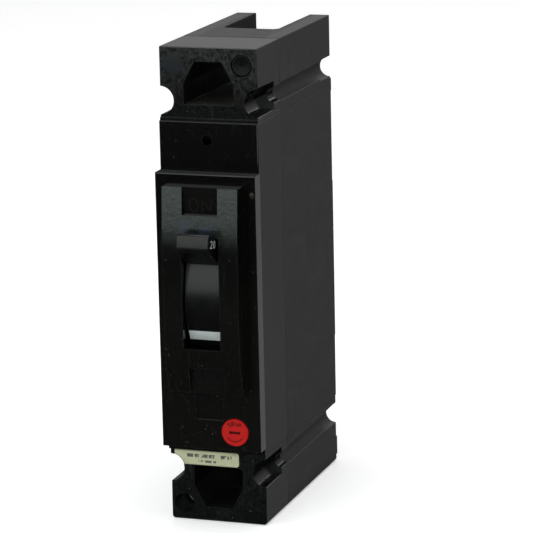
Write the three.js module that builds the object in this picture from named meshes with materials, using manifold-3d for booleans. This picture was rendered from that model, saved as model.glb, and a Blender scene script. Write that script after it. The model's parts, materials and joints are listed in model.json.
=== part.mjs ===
// Single-pole moulded-case circuit breaker, standing on its load end, front towards -Y.
// Millimetres, +Z up, +X to the right seen from the front. Depths ("d") are measured
// forwards from the back plane of the moulding, so a depth d lies at y = backPlane - d.
import * as THREE from 'three';
import { mergeVertices } from 'three/addons/utils/BufferGeometryUtils.js';
import Module from 'manifold-3d';

const wasm = await Module();
wasm.setup();

// ---------------------------------------------------------------- driving dimensions
const height = 162;                 // end to end
const blockWidth = 34;              // terminal blocks
const bodyWidth = 34.4;             // main body and shoulder
const escutcheonWidth = 35;
const backPlane = 48.2;             // y of depth 0, which centres the whole depth on y = 0
const padDepth = -1.1;              // raised pads on the back
const partingDepth = 55;            // base meets cover here
const partingGap = 0.4;
const blockDepth = 77.9;            // face of the terminal blocks
const shoulderDepth = 79;
const ledgeDepth = 78.45, ledgeWidth = 1.1;  // narrow step between block and shoulder
const escutcheonDepth = 83.8;
const panelDepth = 90.7;            // middle of the raised panel
const bodyBottom = 24.7, bodyTop = height - bodyBottom;
const escutcheonBottom = 27.1, escutcheonTop = 120.9;
const panelHalf = 13.1, panelBottom = 47.6, panelTop = 117.4;
const cavityHalf = 14.4, cavityBack = 3, cavityBottom = 28, cavityTop = 134;
const wall = 2.2;
const gap = 0.3;                    // between pieces that touch

const terminalZ = 12;               // lug screw axis, from either end
const slotHalf = 9.85, slotDepth = 35.4, slotLength = 20;
const hexHalf = 8.75, hexTopHalf = 4.75, hexHeight = 14.4, hexSide = 7;
const footRadius = 1.2;             // rounded bottom corners of the housing
const grooveZ = 18, grooveRadius = 3, coverGrooveRadius = 2.6;
const counterboreRadius = 4.75, counterboreFloor = 61.3;
const flareRadius = 3.6, flareDepth = 12;

const handlePivot = [57, 79];       // [depth, z]
const handleOn = 28.2;              // degrees above level when switched on
const handleHalf = 5.6;
const drumRadius = 31.8, drumWall = 1.7, drumHalf = 6.1;
const drumLow = -33, drumHigh = 92; // degrees about the pivot when on
const openingHalf = 6.5, openingBottom = 63, openingTop = 101;
const crankRadius = 8, crankAngle = 234;

const armPivot = [24, 88];
const armTop = 124, armBack = 22.5, armFront = 25.5, armHalf = 3;
const hornRadius = 9, hornAngle = -60;
const contactZ = 120;
const cradlePivot = [37.5, 101];
const latchPoint = [55.5, 61];
const frameHalf = 9.8, frameWall = 1.2;

const tripPivot = [54, 46];
const buttonX = 8.5, buttonZ = 33.6, buttonRadius = 4.75, buttonTop = 84.4;
const plateCount = 7, platePitch = 4, plateThickness = 1.2, firstPlate = 27;
const strapBack = 15.6, strapFront = 18.1, strapHalf = 5;

// ---------------------------------------------------------------- shape helpers
const RAD = Math.PI / 180;
const yAt = (depth) => backPlane - depth;

function solid(geometry) {
  const g = geometry.index ? geometry.clone() : geometry;
  g.deleteAttribute('normal');
  g.deleteAttribute('uv');
  const merged = mergeVertices(g, 1e-4);
  return new wasm.Manifold(new wasm.Mesh({
    numProp: 3,
    vertProperties: Float32Array.from(merged.attributes.position.array),
    triVerts: Uint32Array.from(merged.index.array),
  }));
}

// An outline extruded along `normal`; u and v are the axes that the outline is drawn in.
function extrude(outline, u, v, normal, from, to) {
  const shape = outline instanceof THREE.Shape
    ? outline : new THREE.Shape(outline.map(([a, b]) => new THREE.Vector2(a, b)));
  const g = new THREE.ExtrudeGeometry(shape, { depth: to - from, bevelEnabled: false, curveSegments: 10 });
  g.translate(0, 0, from);
  g.applyMatrix4(new THREE.Matrix4().makeBasis(u, v, normal));
  return solid(g);
}
const X = new THREE.Vector3(1, 0, 0);
const Y = new THREE.Vector3(0, 1, 0);
const Z = new THREE.Vector3(0, 0, 1);

const side = (points, x0, x1) =>                       // outline of [depth, z], thick along x
  extrude(points.map(([d, z]) => [yAt(d), z]), Y, Z, X, x0, x1);
const front = (points, d0, d1) =>                      // outline of [x, z], thick in depth
  extrude(points, X, Z, Y.clone().negate(), -yAt(d0), -yAt(d1));
const plan = (points, z0, z1) =>                       // outline of [x, depth], thick along z
  extrude(points.map(([x, d]) => [x, yAt(d)]), X, Y, Z, z0, z1);

function block(x0, x1, d0, d1, z0, z1) {
  const g = new THREE.BoxGeometry(x1 - x0, d1 - d0, z1 - z0);
  g.translate((x0 + x1) / 2, yAt((d0 + d1) / 2), (z0 + z1) / 2);
  return solid(g);
}

function rodAlongDepth(x, z, radius, d0, d1, sides = 24) {
  const g = new THREE.CylinderGeometry(radius, radius, d1 - d0, sides);
  g.translate(x, yAt((d0 + d1) / 2), z);
  return solid(g);
}

function rodAlongX([d, z], radius, x0, x1, sides = 20) {
  const g = new THREE.CylinderGeometry(radius, radius, x1 - x0, sides);
  g.rotateZ(Math.PI / 2);
  g.translate((x0 + x1) / 2, yAt(d), z);
  return solid(g);
}

const join = (...solids) => solids.reduce((a, b) => a.add(b));
const cut = (body, ...tools) => tools.reduce((a, b) => a.subtract(b), body);
const polar = ([d, z], radius, degrees) =>
  [d + radius * Math.cos(degrees * RAD), z + radius * Math.sin(degrees * RAD)];

// A bar of half width w from p to q, in a [depth, z] outline.
function barOutline([d0, z0], [d1, z1], w) {
  const length = Math.hypot(d1 - d0, z1 - z0);
  const nd = -(z1 - z0) / length * w, nz = (d1 - d0) / length * w;
  return [[d0 + nd, z0 + nz], [d0 - nd, z0 - nz], [d1 - nd, z1 - nz], [d1 + nd, z1 + nz]];
}

function sector(centre, inner, outer, a0, a1, steps) {
  const points = [];
  for (let i = 0; i <= steps; i++) points.push(polar(centre, outer, a0 + (a1 - a0) * i / steps));
  for (let i = steps; i >= 0; i--) points.push(polar(centre, inner, a0 + (a1 - a0) * i / steps));
  return points;
}

// A helical spring about an axis along depth or along a given direction.
function coil(start, end, radius, wire, turns) {
  const axis = new THREE.Vector3().subVectors(end, start);
  const frame = new THREE.Quaternion().setFromUnitVectors(Z, axis.clone().normalize());
  const points = [];
  const steps = turns * 10;
  for (let i = 0; i <= steps; i++) {
    const angle = i / 10 * 2 * Math.PI;
    const p = new THREE.Vector3(radius * Math.cos(angle), radius * Math.sin(angle),
      axis.length() * i / steps);
    points.push(p.applyQuaternion(frame).add(start));
  }
  return tube(points, wire, 6, steps * 2);
}

function tube(points, radius, sides, steps) {
  const ring = new THREE.Shape();
  for (let i = 0; i < sides; i++) {
    const a = i / sides * 2 * Math.PI;
    if (i === 0) ring.moveTo(radius, 0);
    else ring.lineTo(radius * Math.cos(a), radius * Math.sin(a));
  }
  const path = new THREE.CatmullRomCurve3(points);
  return solid(new THREE.ExtrudeGeometry(ring, { steps, extrudePath: path, bevelEnabled: false }));
}
const at = (x, d, z) => new THREE.Vector3(x, yAt(d), z);

// ---------------------------------------------------------------- finishes
const finishes = {
  coverBlack: [0x17181a, 0.35, 0],
  baseGrey: [0x2e2d2d, 0.6, 0],
  handleGrey: [0x2b2b2d, 0.4, 0],
  stripWhite: [0xc9cccb, 0.6, 0],
  buttonRed: [0xb3201e, 0.45, 0],
  labelCream: [0xcfc89a, 0.8, 0],
  brass: [0xb08d4a, 0.4, 0.9],
  steel: [0x9a9c9e, 0.4, 0.9],
  darkSteel: [0x55585c, 0.5, 0.9],
  copper: [0xa8613a, 0.4, 0.9],
  silver: [0xc8c8c4, 0.35, 0.9],
  aluminium: [0xb4b6b8, 0.45, 0.9],
  fibre: [0x6e5a48, 0.85, 0],
  sealing: [0x1f1f20, 0.7, 0],
};

const breaker = new THREE.Group();

function piece(name, shape, finish) {
  const { vertProperties, triVerts } = shape.getMesh();
  const g = new THREE.BufferGeometry();
  g.setAttribute('position', new THREE.BufferAttribute(Float32Array.from(vertProperties), 3));
  g.setIndex(new THREE.BufferAttribute(Uint32Array.from(triVerts), 1));
  g.computeVertexNormals();
  const [color, roughness, metalness] = finishes[finish];
  const mesh = new THREE.Mesh(g, new THREE.MeshStandardMaterial({ color, roughness, metalness }));
  mesh.name = name;
  breaker.add(mesh);
  return mesh;
}

// The two ends of the breaker are alike: `end` is +1 at the line end and -1 at the load end.
const fromEnd = (end, z) => (end > 0 ? height - z : z);
const zBand = (end, z0, z1) => [fromEnd(end, z0), fromEnd(end, z1)].sort((a, b) => a - b);
const ends = [1, -1];

// ---------------------------------------------------------------- housing
const screwSpots = [
  { name: 'cover_screw_upper_right', x: 11.6, z: 156.2, head: 60 },
  { name: 'cover_screw_upper_left', x: -12.5, z: 155.9, head: 60 },
  { name: 'cover_screw_lower_left', x: -12.5, z: 5.4, head: 66 },
];
const screwShank = 1.2, screwTap = 1.5, screwHead = 2.9, screwWell = 3.65;

function slotOutline() {
  const c = 1.4;
  return [[-slotHalf, -3], [slotHalf, -3], [slotHalf, slotDepth - c], [slotHalf - c, slotDepth],
    [c - slotHalf, slotDepth], [-slotHalf, slotDepth - c]];
}

// Outline of the whole housing seen from the front, with its two bottom corners rounded.
function blockOutline() {
  const half = blockWidth / 2;
  const rightCorner = sector([half - footRadius, footRadius], 0, footRadius, -90, 0, 5).slice(0, 6);
  const leftCorner = rightCorner.map(([x, z]) => [-x, z]).reverse();
  return [...rightCorner, [half, height], [-half, height], ...leftCorner];
}

function baseHousing() {
  const top = partingDepth - partingGap / 2;
  const half = blockWidth / 2;
  const outer = join(
    front(blockOutline(), 0, top),
    block(-bodyWidth / 2, bodyWidth / 2, 0, top, bodyBottom, bodyTop),
    block(-half, half, padDepth, 1, 46.6, 103),
    block(-half, half, padDepth, 1, 135.2, 139.6),
    block(-half, half, padDepth, 1, 2.4, 9),
  );
  const tools = [block(-cavityHalf, cavityHalf, cavityBack, top + 1, cavityBottom, cavityTop)];
  for (const end of ends) {
    tools.push(plan(slotOutline(), ...zBand(end, -1, slotLength)));
    tools.push(front(hexOutline(end), slotDepth - 1, top + 1));
    tools.push(block(-strapHalf - gap, strapHalf + gap, strapBack - gap, strapFront + gap,
      ...zBand(end, slotLength - 1, cavityBottom + 2)));
    for (const x of [-half, half]) {
      const z = fromEnd(end, grooveZ);
      tools.push(rodAlongDepth(x, z, grooveRadius, -2, top + 1));
      tools.push(rodAlongDepth(x, z, flareRadius, -2, flareDepth));
    }
  }
  for (const { x, z } of screwSpots) tools.push(rodAlongDepth(x, z, screwTap, 40, top + 1, 16));
  return cut(outer, ...tools);
}

function panelOutline(inset) {
  const top = panelTop - inset, bottom = panelBottom + inset, face = panelDepth - inset;
  return [[escutcheonDepth - 3, bottom], [88 - inset, bottom], [face - 0.2, 61], [face, 64.5],
    [face, 94], [face - 0.15, 98], [89.1 - inset, top], [escutcheonDepth - 3, top]];
}

// Outline of the tunnel to the lug screw; `end` turns it so that its narrow side faces outwards.
// The corners of the wide side are softer at the load end.
function hexOutline(end) {
  const z0 = -hexHeight / 2;
  const corner = end > 0 ? 0.15 : 0.9;
  return [[corner - hexHalf, z0], [hexHalf - corner, z0], [hexHalf, z0 + corner], [hexHalf, z0 + hexSide],
    [hexTopHalf, -z0], [-hexTopHalf, -z0], [-hexHalf, z0 + hexSide], [-hexHalf, z0 + corner]]
    .map(([x, z]) => [x, fromEnd(end, terminalZ) + end * z]);
}

// The label lies against the body; its right end is rounded and its left end meets the mounting groove.
function labelOutline(room) {
  const right = 7.4 + room, low = 19.4 - room, high = bodyBottom - gap + room, corner = 1.1;
  return [[-15.6 - room, low], ...sector([right - corner, low + corner], 0, corner, -90, 0, 4).slice(0, 5),
    ...sector([right - corner, high - corner], 0, corner, 0, 90, 4).slice(0, 5), [-15.6 - room, high]];
}

function frontCover() {
  const bottom = partingDepth + partingGap / 2;
  const half = blockWidth / 2;
  const lip = 1.2;
  let cover = join(
    front(blockOutline(), bottom, blockDepth),
    block(-bodyWidth / 2, bodyWidth / 2, bottom, shoulderDepth, bodyBottom, bodyTop),
    block(-escutcheonWidth / 2, escutcheonWidth / 2, shoulderDepth - 0.2, escutcheonDepth,
      escutcheonBottom, escutcheonTop),
    block(-half - 0.1, half + 0.1, bottom, ledgeDepth, bodyTop - 1, bodyTop + ledgeWidth),
    side(panelOutline(0), -panelHalf, panelHalf),
  );
  const room = escutcheonDepth - wall;
  cover = cut(cover,
    block(-cavityHalf, cavityHalf, bottom - 1, shoulderDepth - wall, cavityBottom, 124),
    block(-cavityHalf, cavityHalf, bottom, room, cavityBottom, escutcheonTop - wall),
    side(panelOutline(wall), wall - panelHalf, panelHalf - wall),
    block(-openingHalf, openingHalf, room - 1, panelDepth + 1, openingBottom, openingTop),
    block(-6.2, 6.2, 88.3, panelDepth + 1, 108.2, panelTop + 1),
    block(-5.2, 6.9, 87.6, panelDepth + 1, panelBottom - 1, 56.4),
    block(-5.1, 4.5, escutcheonDepth - 0.5, escutcheonDepth + 1, 37.3, panelBottom + 0.2),
    rodAlongDepth(buttonX, buttonZ, buttonRadius + 0.25, room - 1, escutcheonDepth + 1, 36),
    rodAlongDepth(-0.6, 131.2, 1.7, 70, shoulderDepth + 1, 20),
    rodAlongDepth(16.1, 114.6, 1.2, escutcheonDepth - 1, escutcheonDepth + 1, 16),
    front(labelOutline(0.2), blockDepth - 0.35, blockDepth + 0.5));
  for (const end of ends) {
    const z = fromEnd(end, grooveZ);
    for (const x of [-half, half]) {
      cover = cut(cover, rodAlongDepth(x, z, coverGrooveRadius, bottom - 1, counterboreFloor + 1),
        rodAlongDepth(x, z, counterboreRadius, counterboreFloor, blockDepth + 3, 32));
    }
    cover = cut(cover, front(hexOutline(end), bottom - 1, blockDepth + 1));
  }
  const wellFloor = { cover_screw_upper_right: 57, cover_screw_upper_left: 57, cover_screw_lower_left: 63 };
  for (const { name, x, z } of screwSpots) {
    cover = cut(cover, rodAlongDepth(x, z, screwTap, bottom - 1, blockDepth + 1, 16),
      rodAlongDepth(x, z, screwWell, wellFloor[name], blockDepth + 1, 32));
  }
  // A lip inside the joint, and the guide behind the trip button.
  const inner = cavityHalf - gap;
  const lipRing = cut(block(-inner, inner, bottom - 2.2, bottom + 2, cavityBottom + gap, 124 - gap),
    block(lip - inner, inner - lip, bottom - 3, bottom + 3, cavityBottom + gap + lip, 124 - gap - lip));
  const lipRoot = cut(block(-cavityHalf - 0.5, cavityHalf + 0.5, bottom, bottom + 2,
    cavityBottom - 0.5, 124.5), block(lip - inner, inner - lip, bottom - 1, bottom + 3,
    cavityBottom + gap + lip, 124 - gap - lip));
  const guide = cut(block(3.4, cavityHalf + 0.5, 70.2, 71.7, cavityBottom - 0.5, 40),
    rodAlongDepth(buttonX, buttonZ, 2.2, 69, 73, 20));
  return join(cover, lipRing, lipRoot, guide);
}

function housing() {
  piece('base_housing', baseHousing(), 'baseGrey');
  piece('front_cover', frontCover(), 'coverBlack');
  for (const { name, x, z, head } of screwSpots) {
    const shape = cut(
      join(rodAlongDepth(x, z, screwShank, 41, head, 12), rodAlongDepth(x, z, screwHead, head - 2.6, head, 24)),
      block(x - 0.45, x + 0.45, head - 0.9, head + 1, z - 4, z + 4));
    piece(name, shape, 'steel');
  }
  piece('seal_plug_upper_left', rodAlongDepth(-12.5, 155.9, 3.35, 72, blockDepth - 0.15, 32), 'sealing');
  piece('seal_plug_upper_right', join(rodAlongDepth(11.6, 156.2, 3.35, 72, blockDepth - 1.2, 32),
    rodAlongDepth(12.2, 156.8, 0.6, 76, blockDepth - 0.8, 12)), 'sealing');
  piece('escutcheon_pin', rodAlongDepth(16.1, 114.6, 0.95, escutcheonDepth - 0.8, escutcheonDepth + 0.15, 16),
    'brass');
  piece('rating_label', cut(front(labelOutline(0), blockDepth - 0.25, blockDepth - 0.05),
    rodAlongDepth(-blockWidth / 2, grooveZ, counterboreRadius + gap, blockDepth - 1, blockDepth + 1, 32)),
  'labelCream');
}

// ---------------------------------------------------------------- terminals
function terminal(end, prefix) {
  const z = fromEnd(end, terminalZ);
  const lug = cut(block(-7.6, 7.6, 12.3, 30.5, ...zBand(end, 6.5, 17.5)),
    block(-5.4, 5.4, 14.9, 25.5, ...zBand(end, 5, 19)),
    rodAlongDepth(0, z, 3.5, 25, 31, 24));
  const screw = cut(join(rodAlongDepth(0, z, 3.15, 25.8, 39, 24), rodAlongDepth(0, z, 4.4, 38, 42, 28)),
    block(-0.6, 0.6, 40.6, 43, z - 5, z + 5));
  piece(`${prefix}_lug`, lug, 'aluminium');
  piece(`${prefix}_lug_screw`, screw, 'steel');
}

function straps() {
  const line = side([[strapBack, 115], [strapFront, 115], [strapFront, height - 6], [strapBack, height - 6]],
    -strapHalf, strapHalf);
  const rise = 32.3, tabBack = 42, tabFront = 44;
  const load = join(
    side([[strapBack, 6], [strapFront, 6], [strapFront, rise - 2.3], [tabFront, rise - 2.3],
      [tabFront, rise], [strapBack, rise]], -strapHalf, strapHalf),
    block(-4, 4, tabBack, tabFront, rise - 1, 41));
  piece('line_strap', line, 'copper');
  piece('load_strap', load, 'copper');
  piece('stationary_contact', rodAlongDepth(0, contactZ, 3.5, strapFront + gap, 20.2, 24), 'silver');
}

// ---------------------------------------------------------------- arc chute
function arcChute() {
  for (let i = 0; i < plateCount; i++) {
    const d = firstPlate + i * platePitch;
    const notch = front([[-4.6, 112], [4.6, 112], [4.6, 124.6], [0, 129], [-4.6, 124.6]], d - 1, d + 3);
    piece(`arc_plate_${i + 1}`, cut(block(-12.4, 12.4, d, d + plateThickness, 113, 133), notch), 'darkSteel');
  }
  const last = firstPlate + (plateCount - 1) * platePitch + plateThickness;
  piece('arc_chute_side_left', block(-13.9, -12.7, 25, last, 113, 133), 'fibre');
  piece('arc_chute_side_right', block(12.7, 13.9, 25, last, 113, 133), 'fibre');
}

// ---------------------------------------------------------------- operating mechanism
const crankPoint = polar(handlePivot, crankRadius, crankAngle);
const hornPoint = polar(armPivot, hornRadius, hornAngle);

function mechanismFrame() {
  const outline = [[3.3, 74], [3.3, 104], [30, 106], [38, 106], [62, 86], [62, 72], [48, 70], [20, 74]];
  const inner = frameHalf - frameWall;
  const plates = join(side(outline, -frameHalf, -inner), side(outline, inner, frameHalf),
    block(-frameHalf, frameHalf, 3.3, 4.8, 74, 104));
  const holes = [[handlePivot, 2.3], [armPivot, 1.7], [cradlePivot, 1.5]]
    .map(([centre, radius]) => rodAlongX(centre, radius, -12, 12));
  piece('mechanism_frame', cut(plates, ...holes), 'steel');
  piece('handle_pivot_pin', rodAlongX(handlePivot, 2, -10.6, 10.6), 'steel');
  piece('contact_arm_pin', rodAlongX(armPivot, 1.4, -10.6, 10.6), 'steel');
  piece('cradle_pin', rodAlongX(cradlePivot, 1.2, -10.6, 10.6), 'steel');
}

function cradle() {
  const leg = barOutline(cradlePivot, latchPoint, 2.4);
  const legs = [[-7.6, -6.4], [6.4, 7.6]].map(([x0, x1]) =>
    join(side(leg, x0, x1), rodAlongX(cradlePivot, 3, x0, x1)));
  const bar = block(-7.6, 7.6, 54, 57, 59.6, 62.4);
  piece('cradle', cut(join(...legs, bar), rodAlongX(cradlePivot, 1.5, -9, 9)), 'darkSteel');
}

// The grip, its curved barrel, the webs that carry it, and the crank behind the pivot.
function handle() {
  const grip = [[drumRadius - 2, -3.3], [36.5, -3.1], [43.6, -2.9], [44.7, -2.2], [45.2, -1.2], [46.3, 2.2],
    [46.1, 3], [45.2, 3.4], [36.5, 3.5], [drumRadius - 2, 3.4]];
  const turn = ([r, h]) => [
    handlePivot[0] + r * Math.cos(handleOn * RAD) - h * Math.sin(handleOn * RAD),
    handlePivot[1] + r * Math.sin(handleOn * RAD) + h * Math.cos(handleOn * RAD)];
  const drum = side(sector(handlePivot, drumRadius - drumWall, drumRadius, drumLow, drumHigh, 40),
    -drumHalf, drumHalf);
  const web = side([handlePivot, polar(handlePivot, drumRadius - 0.5, drumLow + 1),
    ...sector(handlePivot, 0, drumRadius - 0.5, drumLow + 1, drumHigh - 1, 10).slice(0, 11)], -1.5, 1.5);
  const body = join(drum, web, side(grip.map(turn), -handleHalf, handleHalf),
    rodAlongX(handlePivot, 4.2, -drumHalf, drumHalf, 24),
    side(barOutline(handlePivot, crankPoint, 2.2), -1.5, 1.5), rodAlongX(crankPoint, 2.6, -1.5, 1.5));
  const pocket = side(sector(handlePivot, drumRadius - 0.5, drumRadius + 1, -25.6, -18.6, 4), -5.9, 5.9);
  piece('handle', cut(body, rodAlongX(handlePivot, 2.3, -9, 9), rodAlongX(crankPoint, 1.6, -9, 9), pocket),
    'handleGrey');
  piece('handle_indicator_strip',
    side(sector(handlePivot, drumRadius - 0.4, drumRadius + 0.05, -25.2, -19, 4), -5.7, 5.7), 'stripWhite');
  piece('crank_pin', rodAlongX(crankPoint, 1.3, -5.6, 5.6), 'steel');
}

function toggleLinks() {
  const reach = Math.hypot(crankPoint[0] - hornPoint[0], crankPoint[1] - hornPoint[1]);
  const along = [(hornPoint[0] - crankPoint[0]) / reach, (hornPoint[1] - crankPoint[1]) / reach];
  const near = [crankPoint[0] + along[0] * (reach - 0.9), crankPoint[1] + along[1] * (reach - 0.9)];
  const far = [crankPoint[0] + along[0] * (reach + 0.3), crankPoint[1] + along[1] * (reach + 0.3)];
  for (const [name, x0, x1] of [['toggle_link_left', -4.6, -3.4], ['toggle_link_right', 3.4, 4.6]]) {
    const bar = join(side(barOutline(crankPoint, far, 2.2), x0, x1),
      rodAlongX(crankPoint, 2.8, x0, x1), rodAlongX(far, 2.8, x0, x1));
    piece(name, cut(bar, rodAlongX(crankPoint, 1.6, x0 - 1, x1 + 1), rodAlongX(near, 1.5, x0 - 1, x1 + 1),
      rodAlongX(far, 1.5, x0 - 1, x1 + 1), side(barOutline(near, far, 1.5), x0 - 1, x1 + 1)), 'steel');
  }
}

function contactArm() {
  const bar = side([[armBack, 79], [armFront, 79], [armFront, armTop - 1], [armFront - 1, armTop],
    [armBack, armTop]], -armHalf, armHalf);
  const arm = join(bar, rodAlongX(armPivot, 3.6, -armHalf, armHalf),
    side(barOutline(armPivot, hornPoint, 2.4), -armHalf, armHalf), rodAlongX(hornPoint, 2.6, -armHalf, armHalf));
  piece('contact_arm', cut(arm, rodAlongX(armPivot, 1.7, -9, 9), rodAlongX(hornPoint, 1.4, -9, 9)), 'copper');
  piece('moving_contact', rodAlongDepth(0, contactZ, 2.8, 20.5, armBack - gap, 20), 'silver');
  piece('link_pin', rodAlongX(hornPoint, 1.1, -5.9, 5.9), 'steel');
  piece('toggle_spring', coil(at(0, 45, 86), at(0, 32.6, 82.4), 2.2, 0.35, 6), 'steel');
}

// ---------------------------------------------------------------- trip unit
function tripUnit() {
  const [td, tz] = tripPivot;
  const bar = join(rodAlongX(tripPivot, 2.4, -11.8, 11.8),
    side([[td - 1, tz], [td + 1.6, tz - 2], [65.6, 37], [65.6, 30.4], [63.6, 30.4], [63.4, 36]], 6.6, 10.4),
    side([[td - 1.2, tz], [td + 2.2, tz], [td + 2.5, 59.2], [td + 0.6, 59.2]], -2, 2),
    side([[td - 1.8, tz], [td + 1.4, tz], [td, 58.6], [td - 2.2, 58.6]], 3.4, 6.6));
  piece('trip_bar', cut(bar, rodAlongX(tripPivot, 1.2, -15, 15), rodAlongDepth(5, 56.6, 1.2, 49, 56, 14)),
    'baseGrey');
  piece('trip_bar_pin', rodAlongX(tripPivot, 0.95, -12.6, 12.6, 14), 'steel');
  piece('calibration_screw', join(rodAlongDepth(5, 56.6, 0.95, 46.4, td + 0.9, 12),
    rodAlongDepth(5, 56.6, 1.7, td + 0.5, td + 1.6, 14)), 'brass');

  piece('bimetal', block(-3.4, 3.4, 44.3, 45.5, 33, 60), 'silver');
  const yokeOuter = 9.4, yokeInner = 8.2;
  const yoke = join(block(-yokeOuter, yokeOuter, 39.5, 41.5, 35, 52),
    ...[-1, 1].map((s) => side([[39.5, 34.6], [50.8, 34.6], [50.8, 40.4], [46.6, 40.4], [46.6, 52], [39.5, 52]],
      Math.min(s * yokeInner, s * yokeOuter), Math.max(s * yokeInner, s * yokeOuter))));
  const armaturePivot = [48.6, 37.6];
  piece('magnet_yoke', cut(yoke, rodAlongX(armaturePivot, 1.1, -11, 11, 14)), 'darkSteel');
  piece('armature', cut(join(block(-7.8, 7.8, 47.9, 49.1, 37.6, 51.6), rodAlongX(armaturePivot, 1.9, -7.8, 7.8)),
    rodAlongX(armaturePivot, 1.1, -11, 11, 14)), 'darkSteel');
  piece('armature_pin', rodAlongX(armaturePivot, 0.85, -10.2, 10.2, 14), 'steel');
  piece('flexible_braid', tube([at(0, 41.9, 57.5), at(0, 36, 54.5), at(0, 28.5, 58), at(0, 24.4, 66),
    at(0, 24, 78.6)], 1.6, 8, 24), 'copper');
}

function tripButton() {
  const disc = rodAlongDepth(buttonX, buttonZ, buttonRadius, 80.9, buttonTop, 40);
  const flange = rodAlongDepth(buttonX, buttonZ, 5.3, 79.4, 81.3, 28);
  const stem = rodAlongDepth(buttonX, buttonZ, 1.8, 66, 80, 16);
  const driverSlot = block(buttonX - 1.95, buttonX + 1.95, buttonTop - 0.6, buttonTop + 1,
    buttonZ - 0.5, buttonZ + 0.5);
  piece('trip_button', cut(join(disc, flange, stem), driverSlot), 'buttonRed');
  piece('trip_button_spring', coil(at(buttonX, 72.4, buttonZ), at(buttonX, 78.7, buttonZ), 3.1, 0.35, 4), 'steel');
}

housing();
terminal(1, 'line');
terminal(-1, 'load');
straps();
arcChute();
mechanismFrame();
cradle();
handle();
toggleLinks();
contactArm();
tripUnit();
tripButton();

export default breaker;
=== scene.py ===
import json
import math

import bmesh
import bpy
from mathutils import Matrix, Vector


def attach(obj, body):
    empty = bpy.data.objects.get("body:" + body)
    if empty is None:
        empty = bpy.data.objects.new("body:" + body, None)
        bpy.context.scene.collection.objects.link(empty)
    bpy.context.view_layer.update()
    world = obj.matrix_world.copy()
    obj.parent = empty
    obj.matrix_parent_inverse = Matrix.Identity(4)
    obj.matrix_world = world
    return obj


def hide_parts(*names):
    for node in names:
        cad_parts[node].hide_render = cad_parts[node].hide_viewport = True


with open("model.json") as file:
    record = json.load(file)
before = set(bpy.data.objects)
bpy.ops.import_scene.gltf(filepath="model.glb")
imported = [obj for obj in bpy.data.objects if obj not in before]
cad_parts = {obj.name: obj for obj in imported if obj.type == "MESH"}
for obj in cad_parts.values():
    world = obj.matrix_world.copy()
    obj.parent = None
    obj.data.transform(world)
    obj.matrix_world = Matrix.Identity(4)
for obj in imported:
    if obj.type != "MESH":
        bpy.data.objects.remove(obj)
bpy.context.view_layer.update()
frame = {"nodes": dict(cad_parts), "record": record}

nodes = frame["nodes"]
MM = 0.001

# measures of the object, in mm
BACK_PLANE = 48.2                      # y of the housing's back plane; depths run forwards from it
HANDLE_PIVOT = 57.0, 79.0              # depth and height of the handle's axis
BARREL_RADIUS = 31.8                   # of the handle's curved barrel
BUTTON_CENTRE = 8.5, 33.6              # across and up
BUTTON_FACE = 84.4                     # depth of the trip button's face
SHOULDER_FACE = 77.9                   # depth of the face that the filled screw wells end at
ESCUTCHEON_FACE = 83.8
PANEL_TOP = 90.7                       # depth of the raised panel's highest run
# the two sign pockets: span across, span up, depth of the floor
ON_POCKET = (-6.1, 6.1), (108.3, 117.3), 88.3
OFF_POCKET = (-5.1, 6.8), (47.7, 56.3), 87.6


def at(x, depth, z):
    """A point in metres from millimetres across, forwards from the back plane and up."""
    return Vector((x * MM, (BACK_PLANE - depth) * MM, z * MM))


# ------------------------------------------------------------------ camera, floor and light
def look_from(azimuth, elevation, distance, target, roll=0):
    """The placement of something that looks at the target from the given side, angles in degrees."""
    a, e = math.radians(azimuth), math.radians(elevation)
    back = Vector((math.sin(a) * math.cos(e), -math.cos(a) * math.cos(e), math.sin(e)))
    turn = (-back).to_track_quat("-Z", "Y").to_matrix().to_4x4()
    place = Matrix.Translation(target + back * distance)
    return place @ turn @ Matrix.Rotation(math.radians(roll), 4, "Z")


def make_camera():
    data = bpy.data.cameras.new("camera")
    data.lens = 199.5
    data.sensor_width = 36
    data.clip_start, data.clip_end = 0.05, 50
    camera = bpy.data.objects.new("camera", data)
    camera.matrix_world = look_from(19.03, 13.05, 1.0173, Vector((0.0051, 0.0099, 0.0799)), -1.28)
    bpy.context.scene.collection.objects.link(camera)
    bpy.context.scene.camera = camera


def softbox(name, azimuth, elevation, distance, size, aim_height, radiance, color=(1, 1, 1)):
    """A rectangular light of the given brightness, facing the point at aim_height over the origin."""
    data = bpy.data.lights.new(name, "AREA")
    data.shape = "RECTANGLE"
    data.size, data.size_y = size
    data.energy = radiance * math.pi * size[0] * size[1]
    data.color = color
    light = bpy.data.objects.new(name, data)
    light.matrix_world = look_from(azimuth, elevation, distance, Vector((0, 0, aim_height)))
    light.visible_camera = False
    bpy.context.scene.collection.objects.link(light)


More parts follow.
